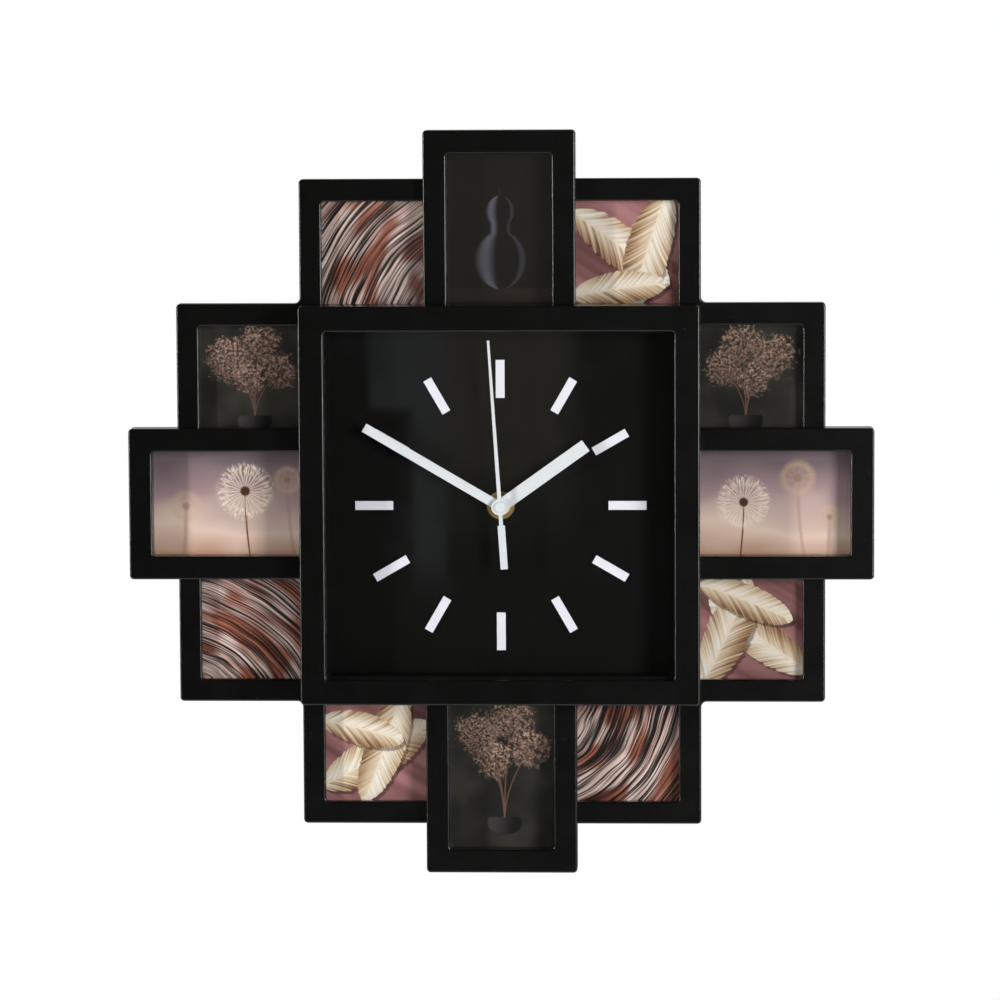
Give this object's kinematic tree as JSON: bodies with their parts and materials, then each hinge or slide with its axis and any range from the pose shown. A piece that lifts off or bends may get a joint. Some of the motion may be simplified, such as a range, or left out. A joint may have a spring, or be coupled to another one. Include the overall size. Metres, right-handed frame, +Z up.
{
  "type": "photo frame clock",
  "caption": "Square wall clock in a deep bezel, ringed by stepped layers of small glazed picture frames, with baton markers, straight hands and a battery movement.",
  "frame": {"origin": "on the wall plane, straight behind the axis of the hands", "axes": "+X right as the viewer faces the dial, +Y into the wall, +Z up"},
  "size_m": [0.4, 0.045, 0.4],
  "materials": {
    "black_frame": "semi-gloss moulded black plastic",
    "black_dial": "satin black plastic sheet",
    "clear_pane": "clear polished sheet",
    "white_marker": "satin white",
    "white_hand": "satin white paint",
    "movement_plastic": "fine-textured black plastic",
    "brass": "turned and polished",
    "gasket_rubber": "soft black",
    "wheel_plastic": "natural white moulded plastic",
    "rotor_magnet": "dark sintered magnet",
    "stator_steel": "punched sheet",
    "coil_wire": "enamelled copper wire",
    "circuit": "green lacquered board",
    "battery_cell": "plain printed sleeve on a steel can",
    "contact_steel": "nickel-plated strip",
    "zinc_steel": "bright zinc plate",
    "latch_steel": "black-coated steel strip",
    "backing_board": "brown fibre board",
    "print_plume": "satin photographic print",
    "print_leaf": "satin photographic print",
    "print_fan": "satin photographic print",
    "print_umbel": "satin photographic print",
    "print_bottle": "satin photographic print"
  },
  "bodies": {
    "frame": {"base_frame": "black_frame", "photo_frame_top": "black_frame", "photo_frame_right": "black_frame", "photo_frame_bottom": "black_frame", "photo_frame_left": "black_frame", "clock_bezel": "black_frame", "clock_lens": "clear_pane", "dial_surround": "black_dial", "dial_plate": "black_dial", "hour_markers": "white_marker", "movement_case_front": "movement_plastic", "movement_case_back": "movement_plastic", "threaded_bush": "brass", "fixing_nut": "brass", "brass_washer": "brass", "rubber_gasket": "gasket_rubber", "battery": "battery_cell", "battery_contacts": "contact_steel", "circuit_board": "circuit", "motor_coil": "coil_wire", "stator": "stator_steel", "hanger_plate": "zinc_steel", "hanger_screws": "zinc_steel", "picture_panes": "clear_pane", "backing_boards": "backing_board", "print_top": "print_bottle", "print_right": "print_umbel", "print_bottom": "print_plume", "print_left": "print_umbel", "print_top_left": "print_leaf", "print_top_right": "print_fan", "print_right_upper": "print_plume", "print_right_lower": "print_fan", "print_bottom_right": "print_leaf", "print_bottom_left": "print_fan", "print_left_lower": "print_leaf", "print_left_upper": "print_plume", "button_screws": "zinc_steel", "bezel_screws": "zinc_steel"},
    "hour_set": {"hour_wheel": "wheel_plastic", "hour_hand": "white_hand"},
    "minute_set": {"minute_tube": "wheel_plastic", "minute_hand": "white_hand"},
    "second_set": {"seconds_wheel": "wheel_plastic", "second_hand": "white_hand"},
    "motion_set": {"motion_wheel": "wheel_plastic", "set_knob": "movement_plastic"},
    "centre_rim": {"centre_wheel": "wheel_plastic"},
    "third_set": {"third_wheel": "wheel_plastic"},
    "intermediate_set": {"intermediate_wheel": "wheel_plastic"},
    "rotor_set": {"rotor": "rotor_magnet"},
    "latch_top_left": {"turn_button_top_left": "latch_steel"},
    "latch_top_right": {"turn_button_top_right": "latch_steel"},
    "latch_right_upper": {"turn_button_right_upper": "latch_steel"},
    "latch_right_lower": {"turn_button_right_lower": "latch_steel"},
    "latch_bottom_right": {"turn_button_bottom_right": "latch_steel"},
    "latch_bottom_left": {"turn_button_bottom_left": "latch_steel"},
    "latch_left_lower": {"turn_button_left_lower": "latch_steel"},
    "latch_left_upper": {"turn_button_left_upper": "latch_steel"}
  },
  "joints": [
    {"name": "minute_hand_turn", "type": "hinge", "parent": "frame", "child": "minute_set", "pos_m": [0, -0.024, 0], "axis": [0, 1, 0], "continuous": true},
    {"name": "hour_hand_turn", "type": "hinge", "parent": "frame", "child": "hour_set", "pos_m": [0, -0.024, 0], "axis": [0, 1, 0], "continuous": true},
    {"name": "set_knob_turn", "type": "hinge", "parent": "frame", "child": "motion_set", "pos_m": [0.0056, -0.014, 0.0097], "axis": [0, 1, 0], "continuous": true},
    {"name": "second_hand_turn", "type": "hinge", "parent": "frame", "child": "second_set", "pos_m": [0, -0.024, 0], "axis": [0, 1, 0], "continuous": true},
    {"name": "intermediate_wheel_turn", "type": "hinge", "parent": "frame", "child": "intermediate_set", "pos_m": [0.011, -0.014, 0], "axis": [0, 1, 0], "continuous": true},
    {"name": "rotor_turn", "type": "hinge", "parent": "frame", "child": "rotor_set", "pos_m": [0.01672, -0.014, 0.0033], "axis": [0, 1, 0], "continuous": true},
    {"name": "third_wheel_turn", "type": "hinge", "parent": "frame", "child": "third_set", "pos_m": [-0.011, -0.014, 0], "axis": [0, 1, 0], "continuous": true},
    {"name": "centre_wheel_turn", "type": "hinge", "parent": "frame", "child": "centre_rim", "pos_m": [0, -0.0167, 0], "axis": [0, 1, 0], "continuous": true},
    {"name": "top_left_latch_turn", "type": "hinge", "parent": "frame", "child": "latch_top_left", "pos_m": [-0.03445, -0.0172, 0.1357], "axis": [0, 1, 0], "range_deg": [0, 90]},
    {"name": "top_right_latch_turn", "type": "hinge", "parent": "frame", "child": "latch_top_right", "pos_m": [0.03445, -0.0172, 0.1357], "axis": [0, 1, 0], "range_deg": [0, 90]},
    {"name": "right_upper_latch_turn", "type": "hinge", "parent": "frame", "child": "latch_right_upper", "pos_m": [0.1345, -0.0172, 0.03565], "axis": [0, 1, 0], "range_deg": [0, 90]},
    {"name": "right_lower_latch_turn", "type": "hinge", "parent": "frame", "child": "latch_right_lower", "pos_m": [0.1345, -0.0172, -0.03325], "axis": [0, 1, 0], "range_deg": [0, 90]},
    {"name": "bottom_right_latch_turn", "type": "hinge", "parent": "frame", "child": "latch_bottom_right", "pos_m": [0.03445, -0.0172, -0.1333], "axis": [0, 1, 0], "range_deg": [0, 90]},
    {"name": "bottom_left_latch_turn", "type": "hinge", "parent": "frame", "child": "latch_bottom_left", "pos_m": [-0.03445, -0.0172, -0.1333], "axis": [0, 1, 0], "range_deg": [0, 90]},
    {"name": "left_lower_latch_turn", "type": "hinge", "parent": "frame", "child": "latch_left_lower", "pos_m": [-0.1345, -0.0172, -0.03325], "axis": [0, 1, 0], "range_deg": [0, 90]},
    {"name": "left_upper_latch_turn", "type": "hinge", "parent": "frame", "child": "latch_left_upper", "pos_m": [-0.1345, -0.0172, 0.03565], "axis": [0, 1, 0], "range_deg": [0, 90]}
  ],
  "couplings": [
    {"joint": "hour_hand_turn", "follows": "minute_hand_turn", "ratio": 0.083333},
    {"joint": "set_knob_turn", "follows": "minute_hand_turn", "ratio": -0.33333},
    {"joint": "intermediate_wheel_turn", "follows": "second_hand_turn", "ratio": -6},
    {"joint": "rotor_turn", "follows": "second_hand_turn", "ratio": 30},
    {"joint": "third_wheel_turn", "follows": "second_hand_turn", "ratio": -0.13333},
    {"joint": "centre_wheel_turn", "follows": "second_hand_turn", "ratio": 0.016667}
  ]
}
